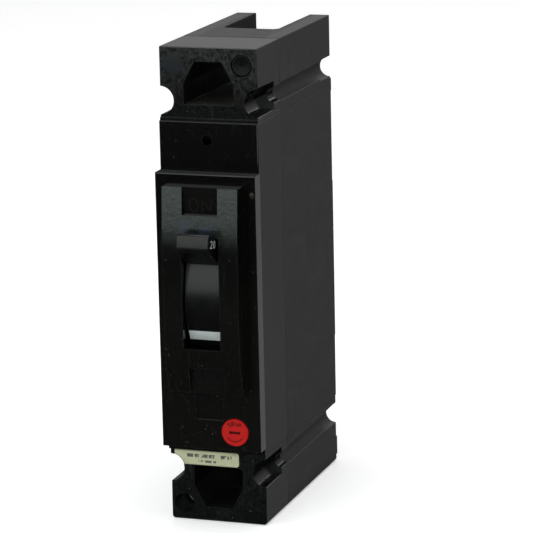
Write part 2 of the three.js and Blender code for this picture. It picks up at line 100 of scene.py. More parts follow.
def make_stage():
    mesh = bpy.data.meshes.new("floor")
    reach = 6.0
    mesh.from_pydata([(-reach, -reach, 0), (reach, -reach, 0), (reach, reach, 0), (-reach, reach, 0)],
                     [], [(0, 1, 2, 3)])
    floor = bpy.data.objects.new("floor", mesh)
    floor.location.z = -0.0002
    bpy.context.scene.collection.objects.link(floor)
    material = bpy.data.materials.new("floor")
    material.use_nodes = True
    shader = material.node_tree.nodes["Principled BSDF"]
    shader.inputs["Base Color"].default_value = (0.93, 0.93, 0.93, 1)
    shader.inputs["Roughness"].default_value = 0.9
    shader.inputs["Specular IOR Level"].default_value = 0.1
    shader.inputs["Emission Color"].default_value = (1, 1, 1, 1)
    shader.inputs["Emission Strength"].default_value = 0.34
    mesh.materials.append(material)
    floor.visible_glossy = False

    world = bpy.data.worlds.new("studio")
    bpy.context.scene.world = world
    world.use_nodes = True
    tree = world.node_tree
    tree.nodes.clear()
    coords = tree.nodes.new("ShaderNodeTexCoord")
    split = tree.nodes.new("ShaderNodeSeparateXYZ")
    ramp = tree.nodes.new("ShaderNodeMapRange")
    ramp.inputs["From Min"].default_value = -0.15
    ramp.inputs["From Max"].default_value = 0.3
    ramp.inputs["To Min"].default_value = 0.012
    ramp.inputs["To Max"].default_value = 0.32
    background = tree.nodes.new("ShaderNodeBackground")
    background.inputs["Color"].default_value = (1, 1, 1, 1)
    output = tree.nodes.new("ShaderNodeOutputWorld")
    tree.links.new(coords.outputs["Generated"], split.inputs[0])
    tree.links.new(split.outputs["Z"], ramp.inputs["Value"])
    tree.links.new(ramp.outputs[0], background.inputs["Strength"])
    tree.links.new(background.outputs[0], output.inputs[0])
    softbox("front_softbox", -19, 0, 1.45, (2.9, 1.45), 0.727, 1.56, (0.90, 1.0, 0.96))
    softbox("overhead_softbox", 30, 84, 1.4, (1.2, 1.2), 0.08, 2.2)
    softbox("side_softbox", 96, 20, 1.7, (1.2, 1.2), 0.2, 1.0)
    softbox("rear_softbox", 190, 25, 1.7, (1.4, 1.0), 0.3, 0.8)
    bpy.context.scene.view_settings.view_transform = "Standard"


make_camera()
make_stage()


# ------------------------------------------------------------------ shader helpers
class Nodes:
    """A small wrapper that makes and links shader nodes in one material."""

    def __init__(self, name):
        self.material = bpy.data.materials.new(name)
        self.material.use_nodes = True
        self.tree = self.material.node_tree
        self.shader = self.tree.nodes["Principled BSDF"]
        self.coords = self.tree.nodes.new("ShaderNodeTexCoord").outputs["Object"]

    def link(self, value, socket):
        """Feeds a socket from a node's output, a number or a colour."""
        if hasattr(value, "is_output"):
            self.tree.links.new(value, socket)
        elif hasattr(value, "__len__") and len(value) == 3 and len(socket.default_value) == 4:
            socket.default_value = (*value, 1)
        else:
            socket.default_value = value

    def scaled(self, scale):
        node = self.tree.nodes.new("ShaderNodeMapping")
        node.inputs["Scale"].default_value = scale
        self.link(self.coords, node.inputs["Vector"])
        return node.outputs[0]

    def noise(self, scale, detail=4, rough=0.55, stretch=None):
        node = self.tree.nodes.new("ShaderNodeTexNoise")
        node.inputs["Scale"].default_value = scale
        node.inputs["Detail"].default_value = detail
        node.inputs["Roughness"].default_value = rough
        self.link(self.scaled(stretch) if stretch else self.coords, node.inputs["Vector"])
        return node.outputs["Fac"]

    def specks(self, scale, size):
        """1 inside sparse round specks, 0 elsewhere."""
        node = self.tree.nodes.new("ShaderNodeTexVoronoi")
        node.inputs["Scale"].default_value = scale
        self.link(self.coords, node.inputs["Vector"])
        return self.ramp(node.outputs["Distance"], size, size * 0.5)

    def ramp(self, value, low, high, to_low=0.0, to_high=1.0):
        node = self.tree.nodes.new("ShaderNodeMapRange")
        node.interpolation_type = "SMOOTHSTEP"
        self.link(value, node.inputs["Value"])
        node.inputs["From Min"].default_value = low
        node.inputs["From Max"].default_value = high
        node.inputs["To Min"].default_value = to_low
        node.inputs["To Max"].default_value = to_high
        return node.outputs[0]

    def inside(self, value, low, high):
        """1 where value, in metres, lies between low and high millimetres."""
        soft = 0.05
        rise = self.ramp(value, (low - soft) * MM, (low + soft) * MM)
        return self.math("MULTIPLY", rise, self.ramp(value, (high + soft) * MM, (high - soft) * MM))

    def math(self, operation, *values, clamp=False):
        node = self.tree.nodes.new("ShaderNodeMath")
        node.operation = operation
        node.use_clamp = clamp
        for value, socket in zip(values, node.inputs):
            self.link(value, socket)
        return node.outputs[0]

    def product(self, first, *others):
        for value in others:
            first = self.math("MULTIPLY", first, value)
        return first

    def inverse(self, value):
        return self.math("SUBTRACT", 1.0, value)

    def absolute(self, value):
        return self.math("ABSOLUTE", value)

    def mix(self, factor, a, b):
        node = self.tree.nodes.new("ShaderNodeMix")
        node.data_type = "RGBA"
        self.link(factor, node.inputs[0])
        self.link(a, node.inputs[6])
        self.link(b, node.inputs[7])
        return node.outputs[2]

    def edges(self, radius):
        """1 near sharp outer and inner edges, 0 on flat faces."""
        bevel = self.tree.nodes.new("ShaderNodeBevel")
        bevel.samples = 4
        bevel.inputs["Radius"].default_value = radius
        geometry = self.tree.nodes.new("ShaderNodeNewGeometry")
        dot = self.tree.nodes.new("ShaderNodeVectorMath")
        dot.operation = "DOT_PRODUCT"
        self.link(bevel.outputs[0], dot.inputs[0])
        self.link(geometry.outputs["Normal"], dot.inputs[1])
        return self.ramp(dot.outputs["Value"], 0.995, 0.8)

    def crevice_shade(self, distance):
        """1 in corners and recesses, 0 on open faces; the materials paint shade with it."""
        node = self.tree.nodes.new("ShaderNodeAmbientOcclusion")
        node.samples = 4
        node.inputs["Distance"].default_value = distance
        return self.ramp(node.outputs["AO"], 0.9, 0.35)

    def axis(self, name):
        node = self.tree.nodes.new("ShaderNodeSeparateXYZ")
        self.link(self.coords, node.inputs[0])
        return node.outputs[name]

    def facing(self, name):
        """The surface normal's component along a row axis."""
        node = self.tree.nodes.new("ShaderNodeSeparateXYZ")
        self.link(self.tree.nodes.new("ShaderNodeTexCoord").outputs["Normal"], node.inputs[0])
        return node.outputs[name]

    def bump(self, *layers):
        """Layers of (height, strength, distance in metres), stacked."""
        normal = None
        for height, strength, distance in layers:
            node = self.tree.nodes.new("ShaderNodeBump")
            node.inputs["Strength"].default_value = strength
            node.inputs["Distance"].default_value = distance
            self.link(height, node.inputs["Height"])
            if normal:
                self.link(normal, node.inputs["Normal"])
            normal = node.outputs[0]
        self.link(normal, self.shader.inputs["Normal"])

    def finish(self, color, rough, metallic=0.0, specular=0.5):
        self.link(color, self.shader.inputs["Base Color"])
        self.link(rough, self.shader.inputs["Roughness"])
        self.shader.inputs["Metallic"].default_value = metallic
        self.shader.inputs["Specular IOR Level"].default_value = specular
        return self.material


# ------------------------------------------------------------------ materials
def cover_zones(m):
    """Masks of the front cover's regions, each 1 inside its region."""
    x, z = m.axis("X"), m.axis("Z")
    across = m.absolute(x)
    depth = m.math("SUBTRACT", BACK_PLANE * MM, m.axis("Y"))
    facing_out = m.ramp(m.facing("Y"), -0.75, -0.95)
    zones = {"facing_out": facing_out, "z": z, "across": across}

    line_end, load_end = m.ramp(z, 0.1372, 0.1376), m.ramp(z, 0.0250, 0.0244)
    zones["ends"] = m.math("ADD", line_end, m.math("MULTIPLY", load_end, 2.7))
    side = m.product(m.ramp(across, 0.01665, 0.01685), m.ramp(m.absolute(m.facing("X")), 0.8, 0.95))
    top_or_foot = m.math("ADD", m.ramp(z, 0.1617, 0.16185), m.ramp(z, 0.0003, 0.00015), clamp=True)
    # the sides, top and foot: a rougher satin finish, and further down a lighter tone that paints a
    # sheen on them
    zones["satin"] = m.math("MAXIMUM", side, top_or_foot)

    pockets, floors = [], []
    for wide, high, floor in (ON_POCKET, OFF_POCKET):
        pockets.append(m.product(m.inside(x, *wide), m.inside(z, *high)))
        floors.append(m.product(pockets[-1], m.inside(depth, floor - 0.1, floor + 0.1)))
    zones["pockets"] = m.math("MAXIMUM", *pockets)
    zones["pocket_floors"] = m.math("MAXIMUM", *floors)
    zones["lower_panel"] = m.product(m.ramp(z, 0.100, 0.074), m.ramp(z, 0.0244, 0.0270))
    zones["upper_panel"] = m.product(m.ramp(z, 0.0955, 0.104), m.inside(z, 90, 117.4),
                                     m.inside(depth, 88.6, 91), facing_out)
    zones["glint_band"] = m.product(m.ramp(z, 0.082, 0.092), m.ramp(z, 0.114, 0.102))
    zones["round_handle"] = m.product(
        m.ramp(m.absolute(m.math("ADD", x, 0.001)), 0.0085, 0.004),
        m.ramp(m.absolute(m.math("SUBTRACT", z, 0.1038)), 0.0042, 0.001))
    zones["shelves"] = m.product(m.ramp(m.facing("Z"), 0.6, 0.95), m.inside(z, 116.5, 121.5))

    # painted light: the floor of the upper terminal tunnel, given a lighter colour further down as if
    # lit
    tunnel_floor = m.product(m.ramp(m.facing("Z"), 0.7, 0.95), m.inside(across, -1, 8.6),
                             m.inside(z, 142, 144))
    zones["tunnel_floor"] = tunnel_floor
    # painted shade: the walls inside the terminal tunnels and the lower screw well, coloured near black
    # further down
    lugs = m.math("ADD", m.inside(z, 1.8, 19.2), m.inside(z, 142.6, 158.2), clamp=True)
    lugs = m.product(lugs, m.inside(across, -1, 8.8))
    well = m.product(m.inside(x, -16.3, -8.7), m.inside(z, 1.5, 9.3))
    zones["hole_walls"] = m.product(m.math("MAXIMUM", lugs, well), m.inverse(facing_out),
                                    m.inverse(tunnel_floor))
    return zones


def cover_phenolic():
    """Gloss black moulding, dusty at its ends, hazy on the panel, satin on its sides, which also get a
    lighter tone as a painted sheen; painted shade darkens its crevices and the walls of its tunnels and
    lower screw well, and a lighter colour paints light onto the upper tunnel's floor.
    """
    m = Nodes("cover_phenolic")
    zones = cover_zones(m)
    z, walls, satin = zones["z"], zones["hole_walls"], zones["satin"]
    cloud = m.noise(55, 5, 0.6)
    mottle = m.noise(700, 7, 0.66)
    fine = m.noise(1500, 3, 0.6)
    scratch = m.ramp(m.noise(520, 2, 0.5, stretch=(2.6, 1, 0.12)), 0.66, 0.74)
    specks = m.math("ADD", m.specks(520, 0.12), m.specks(1100, 0.14), clamp=True)
    specks = m.product(specks, m.ramp(m.noise(230, 2), 0.48, 0.6))

    grime = m.product(m.ramp(m.mix(0.2, mottle, fine), 0.34, 0.65), m.ramp(cloud, 0.3, 0.65, 0.5, 1.0),
                      m.ramp(z, 0.139, 0.159, 0.22, 1.0), zones["ends"], zones["facing_out"])
    film = m.math("MULTIPLY_ADD", zones["lower_panel"], 0.35, 0.04)
    film = m.product(film, m.ramp(mottle, 0.3, 0.75, 0.5, 1.0))
    color = m.mix(film, (0.0016, 0.0017, 0.0016), (0.0085, 0.0088, 0.0066))
    color = m.mix(zones["pocket_floors"], color, (0.0036, 0.0037, 0.0031))
    color = m.mix(grime, color, (0.0105, 0.0130, 0.0122))
    haze = m.product(zones["upper_panel"], m.ramp(mottle, 0.3, 0.7, 0.3, 0.8))
    color = m.mix(haze, color, (0.017, 0.024, 0.0205))
    # painted light on the upper tunnel's floor
    color = m.mix(zones["tunnel_floor"], color, (0.045, 0.043, 0.036))
    stain = m.product(zones["round_handle"], m.ramp(m.noise(300, 5, 0.65), 0.40, 0.64))
    color = m.mix(m.product(stain, 0.6), color, (0.022, 0.032, 0.055))
    color = m.mix(m.product(specks, 0.6), color, (0.10, 0.105, 0.095))
    color = m.mix(m.product(scratch, 0.05), color, (0.12, 0.13, 0.12))
    worn = m.product(m.edges(0.0005), m.ramp(mottle, 0.3, 0.6, 0.25, 1.0), m.inverse(zones["pockets"]))
    color = m.mix(m.product(worn, 0.25), color, (0.050, 0.055, 0.052))
    # painted shade in corners and recesses, weaker on the painted lit tunnel floor
    depth_of_shade = m.math("SUBTRACT", 0.7, m.product(zones["tunnel_floor"], 0.6))
    color = m.mix(m.product(m.crevice_shade(0.003), depth_of_shade), color, (0.0012, 0.0012, 0.0011))
    # painted shade: the tunnel and well walls near black
    color = m.mix(walls, color, (0.0010, 0.0010, 0.0009))
    # painted sheen: the sides, top and foot much lighter than the gloss front, the escutcheon's sides
    # lighter still
    side_sheen_tone = m.mix(cloud, (0.0375, 0.0365, 0.0367), (0.0425, 0.0417, 0.0419))
    escutcheon_side_sheen = m.ramp(zones["across"], 0.01725, 0.0174)
    side_sheen_tone = m.mix(escutcheon_side_sheen, side_sheen_tone, (0.084, 0.086, 0.087))
    color = m.mix(satin, color, side_sheen_tone)

    rough = m.math("MULTIPLY_ADD", grime, 0.16, 0.115)
    rough = m.math("MULTIPLY_ADD", m.ramp(z, 0.108, 0.06), 0.06, rough)
    rough = m.math("MULTIPLY_ADD", satin, 0.4, rough)
    rough = m.math("MULTIPLY_ADD", walls, 0.35, rough, clamp=True)
    rough = m.math("MULTIPLY_ADD", zones["shelves"], 0.9, rough, clamp=True)
    pits = m.math("ADD", m.specks(1500, 0.2), m.specks(800, 0.18), clamp=True)
    pits = m.product(pits, m.ramp(m.noise(200, 3), 0.4, 0.62))
    wide_pits = m.product(m.specks(430, 0.2), m.ramp(m.noise(150, 3), 0.38, 0.6), zones["glint_band"])
    m.bump((mottle, 0.10, 0.0002), (fine, 0.12, 0.0001), (scratch, 0.05, 0.00006), (pits, -0.6, 0.00008),
           (wide_pits, -0.8, 0.0003))
    return m.finish(color, rough, specular=0.5)


def base_phenolic():
    """Dull brown-black moulding, with painted shade between its legs and in its crevices."""
    m = Nodes("base_phenolic")
    outside = m.ramp(m.absolute(m.axis("X")), 0.0119, 0.0121)
    outside = m.math("MAXIMUM", outside, m.ramp(m.facing("Y"), 0.8, 0.95))
    cloud = m.noise(60, 5, 0.6)
    grime = m.noise(380, 6, 0.65)
    streak = m.ramp(m.noise(210, 4, 0.6, stretch=(1, 0.2, 0.9)), 0.5, 0.72)
    base = m.mix(cloud, (0.0330, 0.0316, 0.0314), (0.0395, 0.0381, 0.0377))
    base = m.mix(m.math("MULTIPLY", m.ramp(grime, 0.45, 0.75), 0.35), base, (0.050, 0.048, 0.0475))
    base = m.mix(m.math("MULTIPLY", streak, 0.25), base, (0.055, 0.053, 0.052))
    color = m.mix(m.math("MULTIPLY", m.edges(0.0004), 0.4), base, (0.085, 0.082, 0.080))
    # painted shade in corners and recesses
    color = m.mix(m.math("MULTIPLY", m.crevice_shade(0.006), 0.6), color, (0.008, 0.0075, 0.0072))
    # painted shade: the faces between the legs that do not face the back are coloured darker
    color = m.mix(outside, m.mix(grime, (0.012, 0.0115, 0.011), (0.018, 0.017, 0.016)), color)
    rough = m.math("MULTIPLY_ADD", grime, 0.22, 0.46)
    m.bump((m.noise(1400, 3, 0.5), 0.16, 0.0001), (streak, 0.05, 0.0002), (cloud, 0.1, 0.0004))
    return m.finish(color, rough, specular=0.4)


def plastic(name, dark, light, rough, grain=0.12, specular=0.5, worn=0.35):
    """Moulded plastic that varies between two tones, with lighter worn edges and painted shade in its
    crevices.
    """
    m = Nodes(name)
    grime = m.noise(220, 5, 0.6)
    edges = m.math("MULTIPLY", m.edges(0.0004), worn)
    wear = tuple(min(1.0, c * 1.6 + 0.03) for c in light)
    color = m.mix(edges, m.mix(grime, dark, light), wear)
    # painted shade in crevices
    color = m.mix(m.math("MULTIPLY", m.crevice_shade(0.0012), 0.75), color, tuple(c * 0.2 for c in dark))
    m.bump((m.noise(1200, 3, 0.5), grain, 0.0001))
    return m.finish(color, m.math("MULTIPLY_ADD", grime, 0.2, rough), specular=specular)


def label_paper():
    """Soiled cream paper with two rows of blurred dashes."""
    m = Nodes("label_paper")
    x, z = m.axis("X"), m.axis("Z")
    stain = m.noise(260, 6, 0.65)
    paper = m.mix(stain, (0.33, 0.33, 0.205), (0.46, 0.465, 0.32))
    soiled = m.math("MULTIPLY", m.ramp(m.noise(480, 4, 0.7), 0.56, 0.72), 0.5)
    paper = m.mix(soiled, paper, (0.26, 0.25, 0.16))
    marks = m.ramp(m.noise(1500, 1, 0.3, stretch=(1.0, 0.01, 0.3)), 0.46, 0.52)
    rows = None
    for bottom, top, left, right in ((22.0, 23.2, -11.2, 4.8), (20.3, 21.1, -7.2, -0.8)):
        band = m.product(m.inside(z, bottom, top), m.inside(x, left, right))
        rows = m.math("MAXIMUM", rows, band) if rows else band
    color = m.mix(m.product(rows, marks, 0.85), paper, (0.03, 0.03, 0.035))
    border = m.inverse(m.inside(z, 19.55, 24.25))
    color = m.mix(m.product(border, m.ramp(stain, 0.4, 0.6, 0.2, 0.8)), color, (0.2, 0.19, 0.11))
    m.bump((m.noise(900, 4, 0.6), 0.2, 0.0001), (m.noise(160, 2, 0.5), 0.2, 0.0005))
    return m.finish(color, 0.62, specular=0.25)


def metal(name, dark, light, rough, stretch=(1, 1, 1)):
    """Metal that varies between two tones, its fine grain drawn out by stretch."""
    m = Nodes(name)
    tone = m.noise(300, 5, 0.6)
    brushed = m.noise(1600, 2, 0.5, stretch=stretch)
    color = m.mix(tone, dark, light)
    m.bump((brushed, 0.12, 0.00008))
    return m.finish(color, m.math("MULTIPLY_ADD", tone, 0.25, rough), metallic=1.0)


materials = {
    "aged_brass": metal("aged_brass", (0.05, 0.045, 0.03), (0.11, 0.1, 0.075), 0.5),
    "cover_phenolic": cover_phenolic(),
    "base_phenolic": base_phenolic(),
    "handle_phenolic": plastic("handle_phenolic", (0.0022, 0.0022, 0.0023), (0.0045, 0.0045, 0.0046),
                               0.15, 0.16, 0.34, 0.9),
    "indicator_white": plastic("indicator_white", (0.33, 0.36, 0.36), (0.43, 0.46, 0.46), 0.5),
    "button_red": plastic("button_red", (0.33, 0.005, 0.004), (0.41, 0.008, 0.006), 0.42, 0.12, 0.1),
    "label_cream": label_paper(),
    "sealing_compound": plastic("sealing_compound", (0.0012, 0.0013, 0.0012), (0.004, 0.0042, 0.004),
                                0.3, 0.3, 0.12),
    # dark red print on the trip button, also laid as painted shade in its slot
    "red_print_and_slot_shade": plastic("red_print_and_slot_shade", (0.10, 0.003, 0.002), (0.14, 0.004, 0.003), 0.5, 0.12, 0.1, 0.0),
    "mark_black": plastic("mark_black", (0.0004, 0.0004, 0.0004), (0.0007, 0.0007, 0.0006),
                          0.3, 0.1, 0.2, 0.0),
    "dusty_seal": plastic("dusty_seal", (0.004, 0.0054, 0.0072), (0.008, 0.0105, 0.0138),
                          0.26, 0.35, 0.22),
    "brass": metal("brass", (0.36, 0.27, 0.13), (0.55, 0.42, 0.2), 0.4),
    "steel": metal("steel", (0.34, 0.34, 0.35), (0.55, 0.55, 0.56), 0.35, (1, 1, 0.1)),
    "dark_steel": metal("dark_steel", (0.12, 0.125, 0.13), (0.2, 0.2, 0.21), 0.45, (0.1, 1, 1)),
    "copper": metal("copper", (0.38, 0.17, 0.09), (0.62, 0.3, 0.16), 0.38, (1, 1, 0.1)),
    "silver": metal("silver", (0.55, 0.54, 0.52), (0.72, 0.71, 0.69), 0.35),
    "bimetal": metal("bimetal", (0.36, 0.35, 0.32), (0.52, 0.5, 0.46), 0.35, (1, 1, 0.1)),
    "aluminium": metal("aluminium", (0.5, 0.5, 0.51), (0.66, 0.66, 0.67), 0.42, (1, 1, 0.1)),
    "fibre": plastic("fibre", (0.16, 0.1, 0.07), (0.24, 0.16, 0.11), 0.75, 0.5),
}

slots = {row["node"]: row["material_slot"] for row in frame["record"]["subparts"]}
for name, obj in nodes.items():
    obj.data.materials.clear()
    obj.data.materials.append(materials[slots[name]])


# ------------------------------------------------------------------ shaping helpers
def make_object(name, bm):
    """Turns a bmesh into an object in the scene."""
    bmesh.ops.recalc_face_normals(bm, faces=bm.faces)
    mesh = bpy.data.meshes.new(name)
    bm.to_mesh(mesh)
    bm.free()
    obj = bpy.data.objects.new(name, mesh)
    bpy.context.scene.collection.objects.link(obj)
    return obj


def settle(obj):
    """Turns the object's modifiers into plain mesh."""
    graph = bpy.context.evaluated_depsgraph_get()
    mesh = bpy.data.meshes.new_from_object(obj.evaluated_get(graph))
    obj.modifiers.clear()
    obj.data = mesh


def shade(obj, angle=35):
    """Smooth shading over curved surfaces, crisp at corners."""
    for face in obj.data.polygons:
        face.use_smooth = True
    obj.data.set_sharp_from_angle(angle=math.radians(angle))


def clean_copy(node):
    """The node's solid as a bmesh, its flat faces whole and the facets of its curves shaded smooth."""
    bm = bmesh.new()
    bm.from_mesh(nodes[node].data)
    bmesh.ops.remove_doubles(bm, verts=bm.verts, dist=2e-6)
    bmesh.ops.dissolve_limit(bm, angle_limit=math.radians(0.4), verts=bm.verts, edges=bm.edges)
    for face in bm.faces:
        angles = [math.degrees(e.calc_face_angle(0)) for e in face.edges if len(e.link_faces) == 2]
        face.smooth = any(6 < a < 32 for a in angles) and face.calc_area() < 60 * MM * MM
    return bm


def in_mm(point):
    """A row point in metres as (x, depth, z) in millimetres."""
    return point.x / MM, BACK_PLANE - point.y / MM, point.z / MM


def is_corner(edge, degrees=30):
    """True where two faces meet at more than the given angle."""
    return len(edge.link_faces) == 2 and edge.calc_face_angle(0) > math.radians(degrees)


def soften(bm, chosen, radius):
    """Rounds the corner edges for which chosen(start, end) holds, both in millimetres."""
    picked = [edge for edge in bm.edges
              if is_corner(edge) and chosen(in_mm(edge.verts[0].co), in_mm(edge.verts[1].co))]
    bmesh.ops.bevel(bm, geom=picked, offset=radius * MM, offset_type="OFFSET", segments=4,
                    profile=0.5, affect="EDGES", clamp_overlap=True)


def outer_edge(a, b):
    """True for the edges of the body's outline and of its full-width steps."""
    outside = all(abs(p[0]) > 13.3 for p in (a, b)) or math.dist(a, b) > 26.4
    return outside and math.dist(a, b) > 3 and min(a[1], b[1]) < 84.5


def round_corners(bm, radius, chosen):
    """Marks each chosen corner edge with how much of the radius the edges beside it leave room for."""
    weights = bm.edges.layers.float
    layer = weights.get("bevel_weight_edge") or weights.new("bevel_weight_edge")
    for edge in bm.edges:
        if not is_corner(edge) or not chosen(*(in_mm(vert.co) for vert in edge.verts)):
            continue
        room = radius * MM
        for vert in edge.verts:
            along = (edge.other_vert(vert).co - vert.co).normalized()
            for other in vert.link_edges:
                across = (other.other_vert(vert).co - vert.co).normalized()
                if other is not edge and abs(along.dot(across)) < 0.85:
                    room = min(room, other.calc_length() * 0.42)
        edge[layer] = room / (radius * MM) if room > 0.03 * MM else 0.0


def bevelled(name, bm, radius, chosen):
    """A new object with its chosen corners rounded as far as there is room and shaded smooth there."""
    kept_faces, rounding_faces = 0, 1      # material indices that tell the new faces from the old ones
    round_corners(bm, radius, chosen)
    obj = make_object(name, bm)
    for _ in (kept_faces, rounding_faces):
        obj.data.materials.append(None)
    bevel = obj.modifiers.new("bevel", "BEVEL")
    bevel.width = radius * MM
    bevel.segments = 3
    bevel.material = rounding_faces
    bevel.limit_method = "WEIGHT"
    bevel.use_clamp_overlap = False
    settle(obj)
    for face in obj.data.polygons:
        if face.material_index == rounding_faces:
            face.use_smooth = True
            face.material_index = kept_faces
    return obj


def crisp(obj, degrees=40):
    """Keeps the corners between smooth-shaded faces sharp."""
    bm = bmesh.new()
    bm.from_mesh(obj.data)
    for edge in bm.edges:
        edge.smooth = not is_corner(edge, degrees)
    bm.to_mesh(obj.data)
    bm.free()


def ribbon(bm, points, half, place, low, high, closed=False):
    """A flat bar that follows points (u, v), from low to high over the face that place() maps."""
    count = len(points)
    rows = []
    for i, (u, v) in enumerate(points):
        before = Vector(points[i - 1]) if closed or i > 0 else None
        after = Vector(points[(i + 1) % count]) if closed or i < count - 1 else None
        here = Vector((u, v))
        first = (here - before).normalized() if before else (after - here).normalized()
        last = (after - here).normalized() if after else first
        side_1, side_2 = Vector((-first.y, first.x)), Vector((-last.y, last.x))
        mitre = (side_1 + side_2) / max(0.4, 1 + side_1.dot(side_2))
        left, right = here + mitre * half, here - mitre * half
        rows.append([bm.verts.new(place(p.x, p.y, h)) for p in (left, right) for h in (low, high)])
    pairs = list(zip(rows, rows[1:])) + ([(rows[-1], rows[0])] if closed else [])
    for a, b in pairs:
        for i, j in ((0, 1), (1, 3), (3, 2), (2, 0)):
            bm.faces.new((a[i], a[j], b[j], b[i]))
    if not closed:
        for row in (rows[0], rows[-1]):
            bm.faces.new((row[0], row[1], row[3], row[2]))


def oval(cx, cy, rx, ry, count=22, start=0.0, end=360.0):
    """Points on an oval; a whole one leaves out the repeated last point."""
    whole = abs(end - start) >= 360
    steps = count if whole else count - 1
    angles = [math.radians(start + (end - start) * i / steps) for i in range(count)]
    return [(cx + rx * math.cos(a), cy + ry * math.sin(a)) for a in angles]


# strokes of each sign in a box 1 high: (points, closed)
SIGNS = {
    "O": (0.68, [(oval(0.34, 0.5, 0.34, 0.5), True)]),
    "N": (0.68, [([(0, 0), (0, 1)], False), ([(0, 1), (0.68, 0)], False),
                 ([(0.68, 0), (0.68, 1)], False)]),
    "F": (0.56, [([(0, 0), (0, 1), (0.56, 1)], False), ([(0, 0.54), (0.44, 0.54)], False)]),
    "T": (0.6, [([(0.3, 0), (0.3, 1)], False), ([(0, 1), (0.6, 1)], False)]),
    "R": (0.56, [([(0, 0), (0, 1), (0.4, 1), (0.54, 0.88), (0.54, 0.64), (0.4, 0.52), (0, 0.52)], False),
                 ([(0.3, 0.52), (0.56, 0)], False)]),
    "I": (0.1, [([(0.05, 0), (0.05, 1)], False)]),
    "P": (0.54, [([(0, 0), (0, 1), (0.4, 1), (0.54, 0.88), (0.54, 0.62), (0.4, 0.5), (0, 0.5)], False)]),
    "2": (0.52, [(oval(0.26, 0.72, 0.26, 0.28, 12, 165, -35) + [(0, 0), (0.54, 0)], False)]),
    "0": (0.52, [(oval(0.26, 0.5, 0.26, 0.5, 18), True)]),
}


def write(bm, text, height, half, place, high, gap=0.32):
    """Writes signs from (0, 0) to the right, proud of the face that place() maps by high."""
    pen = 0.0
    for sign in text:
        width, strokes = SIGNS[sign]
        for points, closed in strokes:
            path = [(pen + u * height, v * height) for u, v in points]
            ribbon(bm, path, half, place, -0.05, high, closed)
        pen += (width + gap) * height


def turned_profile(bm, profile, centre, steps=48):
    """A solid turned about the depth direction; profile holds (radius, depth) from front to back."""
    x, z = centre
    rings = []
    for radius, depth in profile:
        if radius == 0:
            rings.append([bm.verts.new(at(x, depth, z))])
        else:
            angles = [2 * math.pi * i / steps for i in range(steps)]
            rings.append([bm.verts.new(at(x + radius * math.cos(a), depth, z + radius * math.sin(a)))
                          for a in angles])
    for a, b in zip(rings, rings[1:]):
        for i in range(steps):
            j = (i + 1) % steps
            if len(a) == 1:
                bm.faces.new((a[0], b[i], b[j]))
            elif len(b) == 1:
                bm.faces.new((a[i], b[0], a[j]))
            else:
                bm.faces.new((a[i], b[i], b[j], a[j]))


def dress(obj, material, body, replaces=None):
    """Gives an object its material, the body it moves with and the CAD node that it stands in for."""
    obj.data.materials.clear()
    obj.data.materials.append(materials[material])
    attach(obj, body)
    if replaces:
        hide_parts(replaces)


# ------------------------------------------------------------------ the front cover
def panel_signs():
    """The signs in the two pockets of the raised panel."""
    bm = bmesh.new()
    on_floor, off_floor = ON_POCKET[2], OFF_POCKET[2]
    write(bm, "ON", 4.4, 0.24, lambda u, v, h: at(-3.9 + u, on_floor + h, 109.2 + v), 0.04, gap=0.36)
    write(bm, "OFF", 4.4, 0.24, lambda u, v, h: at(-4.4 + u, off_floor + h, 50.9 + v), 0.04, gap=0.34)
    signs = make_object("panel_signs", bm)
    dress(signs, "mark_black", "enclosure")


def panel_depth(z):
    """Depth of the raised panel's face at height z, its straight runs blended into one another."""
    runs = [(34.2, 85.5), (61, 90.5), (64.5, PANEL_TOP), (94, PANEL_TOP), (98, 90.55), (137, 87.635)]
    blend, samples = 7.0, 15
    total = 0.0
    for i in range(samples):
        here = z + blend * (2 * i / (samples - 1) - 1)
        for (z0, d0), (z1, d1) in zip(runs, runs[1:]):
            if z0 <= here <= z1:
                total += d0 + (d1 - d0) * (here - z0) / (z1 - z0)
                break
    return total / samples


def curve_panel(bm):
    """Gives the raised panel's face a smooth curve from top to bottom."""
    low, high, step = 48, 117, 1.5

    def panel_faces():
        return [f for f in bm.faces if f.normal.y < -0.97 and in_mm(f.calc_center_median())[1] > 88.65
                and all(abs(in_mm(v.co)[0]) < 13.2 for v in f.verts)]
    z = low + step
    while z < high:
        faces = panel_faces()
        parts = dict.fromkeys(p for f in faces for p in (f, *f.edges, *f.verts))
        bmesh.ops.bisect_plane(bm, geom=list(parts), dist=1e-7,
                               plane_co=(0, 0, z * MM), plane_no=(0, 0, 1))
        z += step
    bm.normal_update()
    faces = panel_faces()
    for vert in {v for f in faces for v in f.verts}:
        vert.co.y = (BACK_PLANE - min(PANEL_TOP, panel_depth(vert.co.z / MM))) * MM
    for face in faces:
        face.smooth = True


def cover_moulding():
    """The front cover with rounded corners and a curved raised panel."""
    bm = clean_copy("front_cover")

    def foot_of_escutcheon(a, b):
        return all(abs(p[1] - 79) < 0.1 and abs(p[2] - 120.9) < 0.1 for p in (a, b))
    soften(bm, foot_of_escutcheon, 0.9)
    curve_panel(bm)
    obj = bevelled("cover_moulding", bm, 0.32, outer_edge)
    crisp(obj)
    dress(obj, "cover_phenolic", "enclosure", replaces="front_cover")


def base_moulding():
    """The base housing with its outer corners rounded, all but those of the back plane."""
    def in_front_of_back(a, b):
        return outer_edge(a, b) and max(a[1], b[1]) > 0.5
    obj = bevelled("base_moulding", clean_copy("base_housing"), 0.28, in_front_of_back)
    crisp(obj)
    dress(obj, "base_phenolic", "enclosure", replaces="base_housing")


